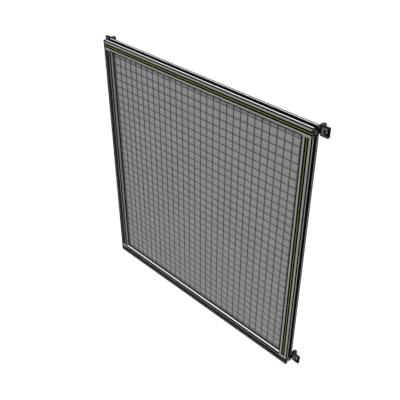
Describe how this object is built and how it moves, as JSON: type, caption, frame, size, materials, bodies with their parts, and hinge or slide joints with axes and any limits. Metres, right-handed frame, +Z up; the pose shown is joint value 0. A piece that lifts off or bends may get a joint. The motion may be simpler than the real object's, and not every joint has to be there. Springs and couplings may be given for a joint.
{
  "type": "machine guard fence panel",
  "caption": "Rectangular guard panel: T-slot aluminium frame with yellow slot covers, wire mesh on a grey sheet, and black hinges to bolt to posts.",
  "frame": {"origin": "on the mating face of the lower left hinge's outer leaf, level with its screw hole and 10 mm out from the side of the frame", "axes": "+X along the panel to the right seen from the front, +Y from the front to the back, +Z up; the back face of the frame lies in the plane y = 0"},
  "size_m": [1.164, 0.0665, 1.14],
  "materials": {
    "aluminium": "natural anodised extrusion",
    "yellow_plastic": "muted yellow moulded strip",
    "wire": "dark grey coated welded wire",
    "grey_sheet": "matt grey sheet",
    "gasket_rubber": "black edge gasket",
    "black_plastic": "black moulded plastic",
    "pin_steel": "plain steel"
  },
  "bodies": {
    "root": {"top_rail": "aluminium", "bottom_rail": "aluminium", "left_post": "aluminium", "right_post": "aluminium", "top_slot_cover": "yellow_plastic", "bottom_slot_cover": "yellow_plastic", "left_slot_cover": "yellow_plastic", "right_slot_cover": "yellow_plastic", "left_mesh": "wire", "middle_mesh": "wire", "right_mesh": "wire", "infill_sheet": "grey_sheet", "top_gasket": "gasket_rubber", "bottom_gasket": "gasket_rubber", "left_gasket": "gasket_rubber", "right_gasket": "gasket_rubber", "top_left_inner_leaf": "black_plastic", "top_left_outer_leaf": "black_plastic", "top_left_hinge_pin": "pin_steel", "top_right_inner_leaf": "black_plastic", "top_right_outer_leaf": "black_plastic", "top_right_hinge_pin": "pin_steel", "bottom_left_inner_leaf": "black_plastic", "bottom_left_outer_leaf": "black_plastic", "bottom_left_hinge_pin": "pin_steel", "bottom_right_inner_leaf": "black_plastic", "bottom_right_outer_leaf": "black_plastic", "bottom_right_hinge_pin": "pin_steel"}
  },
  "joints": []
}
